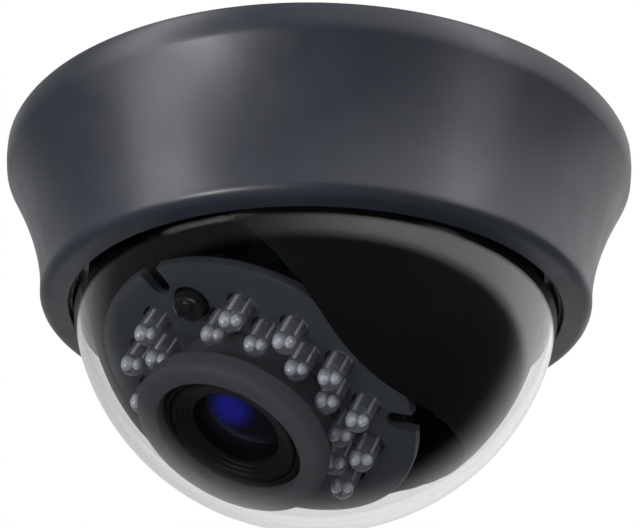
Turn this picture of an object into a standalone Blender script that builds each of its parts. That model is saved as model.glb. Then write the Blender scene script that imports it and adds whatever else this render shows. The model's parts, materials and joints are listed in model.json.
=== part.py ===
"""Ceiling dome camera with a varifocal lens and a ring of infra-red LEDs.

Frame: metres, +Z up into the ceiling, origin at the centre of the base's ceiling face.
The camera hangs below z = 0 and looks towards -Y, tilted LOOK_DOWN degrees below level.
Pieces of the camera module are drawn in the module's own frame: origin on the tilt pivot,
+Z along the line of sight, +X along the tilt axis.
"""
import math

import bmesh
import bpy
from mathutils import Matrix, Vector

MM = 0.001
GAP = 0.3 * MM            # between pieces that touch or nearly touch
RUN_FIT = 0.4 * MM        # round a piece that turns or slides in another
EPS = 0.01 * MM           # weld distance of turned shapes

# Housing and dome. The rim sets the waist, the base and the dome, and the dome sets the lens,
# the plate and the LED rings, so that the works always turn inside it.
RIM_RADIUS = 70.0 * MM
RIM_BAND = 5.0 * MM
WAIST_RADIUS = RIM_RADIUS - 10.0 * MM
LIP_HEIGHT = 36.0 * MM
WALL = 2.2 * MM
FLARE_POWER = 1.7
LIP_ROUND = 2.4 * MM
DOME_RADIUS = WAIST_RADIUS - 6.6 * MM
DOME_WALL = 1.2 * MM
DOME_DROP = 28.0 * MM     # ceiling face down to the middle of the dome's sphere
DOME_GAP = 0.6 * MM       # round the dome where it leaves the housing
FLANGE_THICK = 1.8 * MM
SEAL_THICK = 0.8 * MM
CLAMP_THICK = 2.0 * MM
CATCH_THICK = 1.2 * MM

# Base
BASE_RADIUS = RIM_RADIUS - WALL - 3.6 * MM
BASE_THICK = 2.4 * MM
SKIRT_WALL = 2.0 * MM
SKIRT_HEIGHT = 7.0 * MM
LUG_THICK = 2.0 * MM
LUG_REACH = 1.4 * MM
LUG_LENGTH = 14.0 * MM
LEDGE_LENGTH = 12.0 * MM
SLOT_CIRCLE = BASE_RADIUS - 7.2 * MM
SLOT_WIDTH = 4.6 * MM
SLOT_LENGTH = 9.0 * MM
GROMMET_ANGLE = 45.0
GROMMET_BORE = 3.2 * MM
GROMMET_WALL = 0.9 * MM
GROMMET_FLANGE = 5.3 * MM
BOARD_LENGTH = 28.0 * MM
BOARD_WIDTH = 8.0 * MM
BOARD_THICK = 1.6 * MM

# Pan table and its two arms
HUB_RADIUS = 10.0 * MM
TABLE_THICK = 1.6 * MM
RETAINER_RADIUS = 13.5 * MM
RETAINER_THICK = 1.0 * MM
STEM_RADIUS = 3.0 * MM
ARM_THICK = 2.0 * MM
ARM_WIDTH = 14.0 * MM
PIVOT_DROP = DOME_DROP + MM   # ceiling face down to the tilt axis
LINER_RADIUS = DOME_RADIUS - 3.4 * MM
TABLE_RADIUS = LINER_RADIUS - 1.6 * MM
LINER_WALL = 1.2 * MM
WINDOW_HALF_WIDTH = 0.676 * LINER_RADIUS
WINDOW_HALF_LENGTH = 0.924 * LINER_RADIUS
WINDOW_CORNER = WINDOW_HALF_WIDTH - 0.4 * MM
WINDOW_DOWN = 63.0        # degrees below level that the liner's window faces

# Tilt bracket
LOOK_DOWN = 61.0
BRACKET_INSIDE = 23.2 * MM
BRACKET_THICK = 2.0 * MM
BRACKET_WIDTH = 13.0 * MM
BRACKET_BACK = 9.5 * MM
PIVOT_RADIUS = 2.0 * MM
PIVOT_HEAD = 3.8 * MM
PIVOT_HEAD_THICK = 2.0 * MM

# Module frame, boards and sensor
HEAD_RADIUS = 0.2846 * DOME_RADIUS     # of the lens, which the boards and the frame leave room for
FRAME_RADIUS = HEAD_RADIUS + 3.8 * MM
SENSOR_BOARD_SIDE = 1.3816 * HEAD_RADIUS
FRAME_THICK = 2.0 * MM
ROLL_HUB_RADIUS = 4.0 * MM
ROLL_HUB_LENGTH = 2.6 * MM
ROLL_NUT_RADIUS = 6.5 * MM
ROLL_NUT_THICK = 2.0 * MM
BOARD_PAD = 1.6 * MM
POST_RADIUS = 1.4 * MM
POST_ANGLES = (25.0, 145.0, 265.0)
SENSOR_THICK = 1.5 * MM

# Lens
HEAD_FRONT = 0.8952 * DOME_RADIUS - 3.6 * MM
HEAD_LENGTH = 0.2921 * DOME_RADIUS
BARREL_RADIUS = HEAD_RADIUS - 5.2 * MM
MOUNT_RADIUS = BARREL_RADIUS + 0.4 * MM
MOUNT_BORE = MOUNT_RADIUS - 2.8 * MM
MOUNT_HEIGHT = 8.8 * MM
SENSOR_SIDE = 1.18 * MOUNT_BORE
FILTER_THICK = 0.8 * MM
BARREL_BORE = MOUNT_BORE - 1.6 * MM
GLASS_RADIUS = HEAD_RADIUS - 4.6 * MM
GLASS_EDGE = 2.0 * MM
GLASS_CROWN = 2.4 * MM
FRONT_RING_THICK = 1.9 * MM
FRONT_RING_BORE = HEAD_RADIUS - 5.6 * MM
LENS_RING_WALL = 2.9 * MM
LENS_RING_LENGTH = 0.449 * HEAD_LENGTH
FOCUS_START = HEAD_FRONT - HEAD_LENGTH - 1.1 * MM - LENS_RING_LENGTH
ZOOM_START = FOCUS_START - 1.5 * MM - LENS_RING_LENGTH
LOCK_SCREW_RADIUS = 0.8 * MM
LOCK_HEAD_RADIUS = 1.8 * MM
LOCK_HEAD_LENGTH = 1.8 * MM
ZOOM_SCREW_ANGLE = 85.0
FOCUS_SCREW_ANGLE = 205.0

# LED ring
PLATE_RADIUS = 0.6442 * DOME_RADIUS
PLATE_THICK = 2.2 * MM
PLATE_FRONT = 0.6293 * DOME_RADIUS - 1.2 * MM
PLATE_BORE = HEAD_RADIUS + 1.4 * MM
LED_BOARD_RADIUS = PLATE_RADIUS - 1.8 * MM
OUTER_RING = 0.75 * PLATE_RADIUS
INNER_RING = 0.6105 * PLATE_RADIUS
LED_RADIUS = 0.0969 * OUTER_RING
LED_FLANGE = LED_RADIUS + 0.4 * MM
LED_LENGTH = 9.8 * MM
LED_FLANGE_THICK = 0.8 * MM
LED_HOLE_GAP = 0.7 * MM
RING_PLACES = 14
OUTER_START = 50.0        # angle of the outer ring's first place
OUTER_EMPTY = (1, 8)      # place 1 holds the light sensor, place 8 is left for the plug
INNER_EMPTY = (2, 9)
LIGHT_SENSOR_RADIUS = 3.2 * MM
LIGHT_SENSOR_LENGTH = 6.5 * MM
NOTCH_ANGLES = (85.0, -35.0, -155.0)
NOTCH_WIDTH = 0.1366 * PLATE_RADIUS
NOTCH_DEPTH = 0.1744 * PLATE_RADIUS
BOARD_SCREW_HEAD = 0.0523 * PLATE_RADIUS
BOARD_SCREW_RADIUS = 1.0 * MM

# Rubber collar round the lens
COLLAR_FOOT = HEAD_RADIUS + 2.1 * MM
COLLAR_WIDEST = 0.3858 * DOME_RADIUS
COLLAR_FRONT_RADIUS = 0.3708 * DOME_RADIUS
COLLAR_FRONT = HEAD_FRONT + 2.0 * MM
COLLAR_UNDERCUT = PLATE_FRONT + 7.9 * MM

FINE = 40                 # sides of the large turned pieces
MEDIUM = 24
SMALL = 16
TINY = 8

# Levels that several pieces share, from the ceiling face down
TABLE_TOP = -(BASE_THICK + 0.6 * MM)
TABLE_BOTTOM = TABLE_TOP - TABLE_THICK
HUB_BOTTOM = TABLE_BOTTOM - GAP
LIP_TOP = -LIP_HEIGHT + WALL
SEAL_BOTTOM = LIP_TOP + GAP
FLANGE_BOTTOM = SEAL_BOTTOM + SEAL_THICK + GAP
FLANGE_TOP = FLANGE_BOTTOM + FLANGE_THICK
CLAMP_BOTTOM = FLANGE_TOP + GAP
CLAMP_TOP = CLAMP_BOTTOM + CLAMP_THICK
FLANGE_RADIUS = WAIST_RADIUS - WALL - RUN_FIT
SIDE_SPACE = (LINER_RADIUS + BASE_RADIUS - SKIRT_WALL) / 2.0  # middle of the space round the liner

# Levels of the module, along the line of sight
BOARD_PLANE = PLATE_FRONT - PLATE_THICK - GAP - GAP
LED_BOARD_TOP = BOARD_PLANE
LED_BOARD_BOTTOM = LED_BOARD_TOP - BOARD_THICK
LED_FOOT = LED_BOARD_TOP + GAP
FRAME_RING_TOP = LED_BOARD_BOTTOM - GAP
FRAME_RING_BOTTOM = FRAME_RING_TOP - 1.6 * MM
FRAME_BACK = -BRACKET_BACK + BRACKET_THICK + GAP
FRAME_FLOOR = FRAME_BACK + FRAME_THICK
SENSOR_BOARD_BOTTOM = FRAME_FLOOR + BOARD_PAD + GAP
SENSOR_BOARD_TOP = SENSOR_BOARD_BOTTOM + BOARD_THICK
SENSOR_BOTTOM = SENSOR_BOARD_TOP + GAP
FRAME_RING_BORE = HEAD_RADIUS + 0.6 * MM
POST_CIRCLE = FRAME_RING_BORE + POST_RADIUS


# ---------------------------------------------------------------- helpers

for old in list(bpy.data.objects):
    bpy.data.objects.remove(old, do_unlink=True)

PARTS = bpy.data.collections.new("dome_camera")
CUTTERS = bpy.data.collections.new("cutters")
bpy.context.scene.collection.children.link(PARTS)
bpy.context.scene.collection.children.link(CUTTERS)


def material(name, colour, roughness, metallic=0.0, transmission=0.0):
    made = bpy.data.materials.new(name)
    made.use_nodes = True
    shader = made.node_tree.nodes["Principled BSDF"]
    shader.inputs["Base Color"].default_value = (*colour, 1.0)
    shader.inputs["Roughness"].default_value = roughness
    shader.inputs["Metallic"].default_value = metallic
    shader.inputs["Transmission Weight"].default_value = transmission
    made.diffuse_color = (*colour, 1.0)
    return made


def place(name, mesh, look, parent=None, matrix=None):
    """Link a mesh into the object's collection with its own material."""
    piece = bpy.data.objects.new(name, mesh)
    PARTS.objects.link(piece)
    if look is not None:
        mesh.materials.append(material(name + "_material", *look))
    piece.parent = parent
    if matrix is not None:
        piece.matrix_local = matrix
    return piece


def cutter(piece, parent=None, matrix=None):
    """Turn a piece into a hidden tool for cutting or joining."""
    PARTS.objects.unlink(piece)
    CUTTERS.objects.link(piece)
    piece.parent = parent
    if matrix is not None:
        piece.matrix_local = matrix
    piece.hide_render = True
    piece.display_type = "WIRE"
    return piece


def profile_mesh(name, points, closed):
    shape = bmesh.new()
    verts = [shape.verts.new((r, 0.0, z)) for r, z in points]
    for first, second in zip(verts, verts[1:]):
        shape.edges.new((first, second))
    if closed:
        shape.edges.new((verts[-1], verts[0]))
    mesh = bpy.data.meshes.new(name)
    shape.to_mesh(mesh)
    shape.free()
    return mesh


def turned(name, points, look, steps, closed=False, parent=None, matrix=None):
    """Spin a profile of (radius, height) points, given down its outer side, round Z."""
    piece = place(name, profile_mesh(name, points, closed), look, parent, matrix)
    screw = piece.modifiers.new("turn", "SCREW")
    screw.axis = "Z"
    screw.angle = 2.0 * math.pi
    screw.steps = steps
    screw.render_steps = steps
    screw.use_merge_vertices = True
    screw.merge_threshold = EPS
    screw.use_smooth_shade = True
    return piece


def ring_points(inner, outer, bottom, top):
    return [(outer, top), (outer, bottom), (inner, bottom), (inner, top)]


def disc_points(radius, bottom, top):
    return [(0.0, top), (radius, top), (radius, bottom), (0.0, bottom)]


def block(name, size, centre, look, parent=None, corner=0.0, sides="Z", segments=3, turn=None):
    """A box, with the edges that run along one axis rounded."""
    shape = bmesh.new()
    bmesh.ops.create_cube(shape, size=1.0)
    bmesh.ops.scale(shape, vec=size, verts=shape.verts)
    if corner > 0.0:
        axis = "XYZ".index(sides)
        along = [e for e in shape.edges
                 if abs((e.verts[0].co - e.verts[1].co)[axis]) > 0.5 * size[axis]]
        bmesh.ops.bevel(shape, geom=along, offset=corner, segments=segments,
                        affect="EDGES", profile=0.5, material=-1)
    bmesh.ops.translate(shape, vec=centre, verts=shape.verts)
    if turn is not None:
        bmesh.ops.transform(shape, matrix=turn, verts=shape.verts)
    mesh = bpy.data.meshes.new(name)
    shape.to_mesh(mesh)
    shape.free()
    return place(name, mesh, look, parent)


def rod(name, radius, start, end, look, parent=None, sides=SMALL):
    """A solid cylinder between two points."""
    start, end = Vector(start), Vector(end)
    shape = bmesh.new()
    bmesh.ops.create_cone(shape, cap_ends=True, segments=sides, radius1=radius,
                          radius2=radius, depth=(end - start).length)
    turn = Vector((0.0, 0.0, 1.0)).rotation_difference(end - start).to_matrix().to_4x4()
    bmesh.ops.transform(shape, matrix=Matrix.Translation((start + end) / 2.0) @ turn,
                        verts=shape.verts)
    mesh = bpy.data.meshes.new(name)
    shape.to_mesh(mesh)
    shape.free()
    return place(name, mesh, look, parent)


def combine(piece, tool, operation):
    step = piece.modifiers.new(operation.lower(), "BOOLEAN")
    step.operation = operation
    step.solver = "EXACT"
    step.object = tool


def polar(radius, degrees, height=0.0):
    angle = math.radians(degrees)
    return Vector((radius * math.cos(angle), radius * math.sin(angle), height))


def about_z(degrees):
    return Matrix.Rotation(math.radians(degrees), 4, "Z")


def empty(name, matrix, parent=None):
    made = bpy.data.objects.new(name, None)
    PARTS.objects.link(made)
    made.empty_display_size = 10.0 * MM
    made.parent = parent
    made.matrix_local = matrix
    return made


# Looks: base colour, roughness, metallic, transmission
CHARCOAL = ((0.045, 0.052, 0.062), 0.42)
BLACK = ((0.012, 0.012, 0.013), 0.5)
PLATE_GREY = ((0.032, 0.034, 0.036), 0.55)
RUBBER = ((0.028, 0.029, 0.031), 0.8)
CLEAR = ((0.9, 0.92, 0.93), 0.04, 0.0, 0.95)
GLASS = ((0.25, 0.22, 0.5), 0.02, 0.0, 0.8)
STEEL = ((0.55, 0.55, 0.56), 0.32, 1.0)
BOARD_GREEN = ((0.02, 0.12, 0.05), 0.5)
NYLON = ((0.62, 0.62, 0.6), 0.55)

# Joint frames
pan_axis = empty("pan_axis", Matrix.Identity(4))
tilt_axis = empty("tilt_axis", Matrix.Translation((0.0, 0.0, -PIVOT_DROP)), pan_axis)
sight = empty("sight_axis", Matrix.Rotation(math.radians(90.0 + LOOK_DOWN), 4, "X"), tilt_axis)
cover_axis = empty("cover_axis", Matrix.Identity(4))


# ---------------------------------------------------------------- base

def make_base():
    stem_bore = STEM_RADIUS + GAP
    skirt_inside = BASE_RADIUS - SKIRT_WALL
    points = [
        (0.0, 0.0),
        (BASE_RADIUS, 0.0),
        (BASE_RADIUS, -SKIRT_HEIGHT),
        (skirt_inside, -SKIRT_HEIGHT),
        (skirt_inside, -BASE_THICK),
        (HUB_RADIUS, -BASE_THICK),
        (HUB_RADIUS, HUB_BOTTOM),
        (stem_bore, HUB_BOTTOM),
        (stem_bore, -BASE_THICK - 0.6 * MM),
        (0.0, -BASE_THICK - 0.6 * MM),
    ]
    base = turned("base_plate", points, CHARCOAL, FINE)
    lug_depth = SKIRT_WALL / 2.0 + LUG_REACH
    for index in range(3):
        lug = block("lug_tool", (lug_depth, LUG_LENGTH, LUG_THICK),
                    (BASE_RADIUS + LUG_REACH - lug_depth / 2.0, 0.0,
                     -SKIRT_HEIGHT + 0.2 * MM + LUG_THICK / 2.0),
                    None, turn=about_z(90.0 + 120.0 * index))
        combine(base, cutter(lug), "UNION")
        slot = block("slot_tool", (SLOT_WIDTH, SLOT_LENGTH, 4.0 * BASE_THICK),
                     (SLOT_CIRCLE, 0.0, -BASE_THICK / 2.0), None,
                     corner=0.48 * SLOT_WIDTH, turn=about_z(120.0 * index))
        combine(base, cutter(slot), "DIFFERENCE")
    neck = GROMMET_BORE + GROMMET_WALL
    hole = rod("cable_hole_tool", neck + GAP, polar(SIDE_SPACE, GROMMET_ANGLE, -3.0 * BASE_THICK),
               polar(SIDE_SPACE, GROMMET_ANGLE, BASE_THICK), None)
    combine(base, cutter(hole), "DIFFERENCE")

    below = -BASE_THICK - GAP
    turned("cable_grommet",
           [(neck, -GAP), (neck, below), (GROMMET_FLANGE, below),
            (GROMMET_FLANGE, below - 1.4 * MM), (neck, below - 2.4 * MM),
            (GROMMET_BORE, below - 2.4 * MM), (GROMMET_BORE, -GAP)],
           RUBBER, SMALL, closed=True,
           matrix=Matrix.Translation(polar(SIDE_SPACE, GROMMET_ANGLE)))

    retainer_top = HUB_BOTTOM - GAP
    turned("pan_retainer",
           [(0.0, HUB_BOTTOM + 1.4 * MM), (STEM_RADIUS, HUB_BOTTOM + 1.4 * MM),
            (STEM_RADIUS, retainer_top), (RETAINER_RADIUS, retainer_top),
            (RETAINER_RADIUS, retainer_top - RETAINER_THICK), (0.0, retainer_top - RETAINER_THICK)],
           NYLON, SMALL)

    middle = SIDE_SPACE - 0.3 * MM
    board_top = -BASE_THICK - 2.6 * MM
    for side in (-1.0, 1.0):
        foot = rod("standoff_tool", 1.6 * MM,
                   (side * 0.38 * BOARD_LENGTH, middle, -BASE_THICK / 2.0),
                   (side * 0.38 * BOARD_LENGTH, middle, board_top + GAP), None, sides=TINY)
        combine(base, cutter(foot), "UNION")
    board_bottom = board_top - BOARD_THICK
    block("power_board", (BOARD_LENGTH, BOARD_WIDTH, BOARD_THICK),
          (0.0, middle, board_top - BOARD_THICK / 2.0), BOARD_GREEN)
    block("board_connector", (9.0 * MM, 6.0 * MM, 4.5 * MM),
          (0.0, middle, board_bottom - GAP - 2.25 * MM), NYLON)


# ---------------------------------------------------------------- cover and dome

def flare(height):
    """Outer radius of the housing at a height below the ceiling face."""
    bottom = -LIP_HEIGHT + LIP_ROUND
    share = max(0.0, (height - bottom) / (-RIM_BAND - bottom))
    return WAIST_RADIUS + (RIM_RADIUS - WAIST_RADIUS) * 0.97 * share ** FLARE_POWER


def sphere_points(radius, start_height, count, downward):
    """Points of the dome's sphere from a height down to its pole, or back up."""
    first = math.asin((start_height + DOME_DROP) / radius)
    last = -math.pi / 2.0
    points = []
    for index in range(count + 1):
        angle = first + (last - first) * index / count
        across = 0.0 if index == count else radius * math.cos(angle)
        points.append((across, -DOME_DROP + radius * math.sin(angle)))
    return points if downward else points[::-1]


def make_cover():
    flare_count = 7
    bottom = -LIP_HEIGHT + LIP_ROUND
    levels = [-RIM_BAND + (bottom + RIM_BAND) * i / flare_count for i in range(flare_count + 1)]
    opening = math.sqrt(DOME_RADIUS ** 2 - (DOME_DROP + LIP_TOP) ** 2) + DOME_GAP
    outside = [(RIM_RADIUS, 0.0), (RIM_RADIUS, -0.5 * RIM_BAND)]
    outside += [(flare(z), z) for z in levels]
    for index in range(1, 4):
        angle = math.radians(30.0 * index)
        outside.append((WAIST_RADIUS - LIP_ROUND + LIP_ROUND * math.cos(angle),
                        bottom - LIP_ROUND * math.sin(angle)))
    inside = [(opening, -LIP_HEIGHT + 0.6 * MM), (opening, LIP_TOP)]
    inside += [(flare(z) - WALL, z) for z in levels[::-1] if z > LIP_TOP + 0.4 * MM]
    inside.insert(2, (WAIST_RADIUS - WALL, LIP_TOP))
    inside += [(RIM_RADIUS - WALL, -0.5 * RIM_BAND), (RIM_RADIUS - WALL, 0.0)]
    cover = turned("housing_cover", outside + inside, CHARCOAL, FINE, closed=True,
                   parent=cover_axis)
    ledge_inner = BASE_RADIUS + 0.6 * MM
    ledge_outer = RIM_RADIUS - 0.5 * WALL
    lug_top = -SKIRT_HEIGHT + 0.2 * MM + LUG_THICK
    catch_inner = FLANGE_RADIUS - 0.6 * MM
    for index in range(3):
        ledge = block("ledge_tool", (ledge_outer - ledge_inner, LEDGE_LENGTH, LUG_THICK),
                      ((ledge_inner + ledge_outer) / 2.0, 0.0,
                       lug_top + 0.6 * MM + LUG_THICK / 2.0),
                      None, turn=about_z(90.0 + 120.0 * index))
        combine(cover, cutter(ledge), "UNION")
        catch_outer = WAIST_RADIUS - 0.4 * WALL
        catch = block("catch_tool", (catch_outer - catch_inner, 0.7 * LEDGE_LENGTH, CATCH_THICK),
                      ((catch_inner + catch_outer) / 2.0, 0.0, CLAMP_TOP + GAP + CATCH_THICK / 2.0),
                      None, turn=about_z(30.0 + 120.0 * index))
        combine(cover, cutter(catch), "UNION")

    turned("dome_seal",
           ring_points(opening + 0.3 * MM, FLANGE_RADIUS, SEAL_BOTTOM, SEAL_BOTTOM + SEAL_THICK),
           RUBBER, FINE, closed=True, parent=cover_axis)
    inner_radius = DOME_RADIUS - DOME_WALL
    bubble = sphere_points(inner_radius, FLANGE_TOP, 7, False)
    bubble += [(FLANGE_RADIUS, FLANGE_TOP), (FLANGE_RADIUS, FLANGE_BOTTOM)]
    bubble += sphere_points(DOME_RADIUS, FLANGE_BOTTOM, 7, True)
    turned("dome_bubble", bubble, CLEAR, FINE, parent=cover_axis)
    turned("dome_clamp_ring",
           ring_points(inner_radius + 0.4 * MM, FLANGE_RADIUS, CLAMP_BOTTOM, CLAMP_TOP),
           BLACK, FINE, closed=True, parent=cover_axis)


# ---------------------------------------------------------------- pan table and liner

def make_pan():
    table = turned("pan_table",
                   ring_points(HUB_RADIUS + RUN_FIT, TABLE_RADIUS, TABLE_BOTTOM, TABLE_TOP),
                   BLACK, FINE, closed=True, parent=pan_axis)
    arm_middle = BRACKET_INSIDE + BRACKET_THICK + RUN_FIT + ARM_THICK / 2.0
    arm_end = -PIVOT_DROP - ARM_WIDTH / 2.0
    arm_top = TABLE_BOTTOM + TABLE_THICK / 2.0
    for side in (-1.0, 1.0):
        arm = block("arm_tool", (ARM_THICK, ARM_WIDTH, 2.0 * (arm_top - arm_end)),
                    (side * arm_middle, 0.0, arm_top), None,
                    corner=0.48 * ARM_WIDTH, sides="X", segments=4)
        trim = block("trim_tool", (2.0 * ARM_THICK, 2.0 * ARM_WIDTH, 0.1),
                     (side * arm_middle, 0.0, arm_top + 0.05), None)
        combine(arm, cutter(trim), "DIFFERENCE")
        hole = rod("pivot_hole_tool", PIVOT_RADIUS + RUN_FIT,
                   (side * (arm_middle - 2.0 * ARM_THICK), 0.0, -PIVOT_DROP),
                   (side * (arm_middle + 2.0 * ARM_THICK), 0.0, -PIVOT_DROP), None)
        combine(arm, cutter(hole), "DIFFERENCE")
        combine(table, cutter(arm), "UNION")

    liner_inner = LINER_RADIUS - LINER_WALL
    ledge_top = TABLE_BOTTOM - GAP
    ledge_bottom = ledge_top - 1.0 * MM
    ledge_inner = TABLE_RADIUS - 1.5 * MM
    shell = sphere_points(liner_inner, -DOME_DROP, 7, False)
    shell += [(liner_inner, ledge_bottom), (ledge_inner, ledge_bottom), (ledge_inner, ledge_top),
              (liner_inner, ledge_top), (liner_inner, TABLE_TOP - 0.2 * MM),
              (LINER_RADIUS, TABLE_TOP - 0.2 * MM)]
    shell += sphere_points(LINER_RADIUS, -DOME_DROP, 7, True)
    liner = turned("inner_liner", shell, BLACK, FINE, parent=pan_axis)
    window = block("window_tool",
                   (2.0 * WINDOW_HALF_WIDTH, 2.0 * WINDOW_HALF_LENGTH, 2.0 * LINER_RADIUS),
                   (0.0, 0.0, LINER_RADIUS), None, corner=WINDOW_CORNER, segments=8)
    aim = Matrix.Translation((0.0, 0.0, -DOME_DROP))
    aim = aim @ Matrix.Rotation(math.radians(90.0 + WINDOW_DOWN), 4, "X")
    combine(liner, cutter(window, pan_axis, aim), "DIFFERENCE")


# ---------------------------------------------------------------- tilt bracket

def make_tilt():
    outside = BRACKET_INSIDE + BRACKET_THICK
    back = block("tilt_bracket", (2.0 * outside, BRACKET_WIDTH, BRACKET_THICK),
                 (0.0, 0.0, -BRACKET_BACK + BRACKET_THICK / 2.0), BLACK, sight)
    reach = BRACKET_WIDTH / 2.0
    for side in (-1.0, 1.0):
        middle = side * (BRACKET_INSIDE + BRACKET_THICK / 2.0)
        cheek = block("cheek_tool",
                      (BRACKET_THICK, BRACKET_WIDTH, BRACKET_BACK + reach),
                      (middle, 0.0, (reach - BRACKET_BACK) / 2.0), None)
        combine(back, cutter(cheek, sight), "UNION")
    for side in (-1.0, 1.0):
        bore = rod("cheek_bore_tool", PIVOT_RADIUS + GAP, (side * (BRACKET_INSIDE - MM), 0.0, 0.0),
                   (side * (outside + MM), 0.0, 0.0), None)
        combine(back, cutter(bore, sight), "DIFFERENCE")
    hub_hole = rod("hub_hole_tool", ROLL_HUB_RADIUS + RUN_FIT, (0.0, 0.0, -2.0 * BRACKET_BACK),
                   (0.0, 0.0, -0.5 * BRACKET_BACK), None)
    combine(back, cutter(hub_hole, sight), "DIFFERENCE")

    head_start = outside + RUN_FIT + ARM_THICK + GAP
    for side, name in ((-1.0, "tilt_screw_left"), (1.0, "tilt_screw_right")):
        points = [(0.0, PIVOT_HEAD_THICK), (PIVOT_HEAD, PIVOT_HEAD_THICK), (PIVOT_HEAD, 0.0)]
        points += [(PIVOT_RADIUS, 0.0), (PIVOT_RADIUS, BRACKET_INSIDE - head_start),
                   (0.0, BRACKET_INSIDE - head_start)]
        seat = Matrix.Translation((side * head_start, 0.0, 0.0))
        seat = seat @ Matrix.Rotation(side * math.pi / 2.0, 4, "Y")
        turned(name, points, STEEL, SMALL, parent=sight, matrix=seat)


# ---------------------------------------------------------------- module frame and boards

def make_frame():
    hub_end = FRAME_BACK - BRACKET_THICK - ROLL_HUB_LENGTH
    pad_in = 0.36 * SENSOR_BOARD_SIDE
    pad_out = pad_in + 2.0 * MM
    pad_top = FRAME_FLOOR + BOARD_PAD
    frame = turned("module_frame",
                   [(0.0, FRAME_FLOOR), (pad_in, FRAME_FLOOR), (pad_in, pad_top),
                    (pad_out, pad_top), (pad_out, FRAME_FLOOR), (FRAME_RADIUS, FRAME_FLOOR),
                    (FRAME_RADIUS, FRAME_BACK), (ROLL_HUB_RADIUS, FRAME_BACK),
                    (ROLL_HUB_RADIUS, hub_end), (0.0, hub_end)],
                   BLACK, MEDIUM, parent=sight)
    carrier = turned("carrier_tool",
                     ring_points(FRAME_RING_BORE, LED_BOARD_RADIUS, FRAME_RING_BOTTOM,
                                 FRAME_RING_TOP),
                     None, MEDIUM, closed=True)
    for angle in POST_ANGLES:
        post = rod("post_tool", POST_RADIUS,
                   polar(POST_CIRCLE, angle, FRAME_BACK + FRAME_THICK / 2.0),
                   polar(POST_CIRCLE, angle, (FRAME_RING_BOTTOM + FRAME_RING_TOP) / 2.0),
                   None, sides=TINY)
        combine(frame, cutter(post, sight), "UNION")
    combine(frame, cutter(carrier, sight), "UNION")

    nut_top = FRAME_BACK - GAP - BRACKET_THICK - GAP
    turned("roll_nut",
           ring_points(ROLL_HUB_RADIUS + GAP, ROLL_NUT_RADIUS, nut_top - ROLL_NUT_THICK, nut_top),
           STEEL, SMALL, closed=True, parent=sight)

    board = turned("led_board",
                   ring_points(FRAME_RING_BORE, LED_BOARD_RADIUS, LED_BOARD_BOTTOM, LED_BOARD_TOP),
                   BOARD_GREEN, MEDIUM, closed=True, parent=sight)
    screw_circle = PLATE_RADIUS - NOTCH_DEPTH + NOTCH_WIDTH / 2.0
    for number, angle in enumerate(NOTCH_ANGLES, start=1):
        hole = rod("screw_hole_tool", BOARD_SCREW_RADIUS + GAP,
                   polar(screw_circle, angle, FRAME_RING_BOTTOM - MM),
                   polar(screw_circle, angle, LED_BOARD_TOP + MM), None, sides=TINY)
        cutter(hole, sight)
        combine(board, hole, "DIFFERENCE")
        combine(frame, hole, "DIFFERENCE")
        turned(f"led_board_screw_{number}",
               [(0.0, 1.5 * MM), (0.7 * BOARD_SCREW_HEAD, 1.5 * MM), (BOARD_SCREW_HEAD, MM),
                (BOARD_SCREW_HEAD, 0.0), (BOARD_SCREW_RADIUS, 0.0),
                (BOARD_SCREW_RADIUS, FRAME_RING_BOTTOM - LED_FOOT - 0.5 * MM),
                (0.0, FRAME_RING_BOTTOM - LED_FOOT - 0.5 * MM)],
               BLACK, TINY, parent=sight,
               matrix=Matrix.Translation(polar(screw_circle, angle, LED_FOOT)))

    block("sensor_board", (SENSOR_BOARD_SIDE, SENSOR_BOARD_SIDE, BOARD_THICK),
          (0.0, 0.0, SENSOR_BOARD_BOTTOM + BOARD_THICK / 2.0), BOARD_GREEN, sight,
          corner=1.5 * MM, segments=1)
    block("image_sensor", (SENSOR_SIDE, SENSOR_SIDE, SENSOR_THICK),
          (0.0, 0.0, SENSOR_BOTTOM + SENSOR_THICK / 2.0), BLACK, sight)


# ---------------------------------------------------------------- lens

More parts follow.
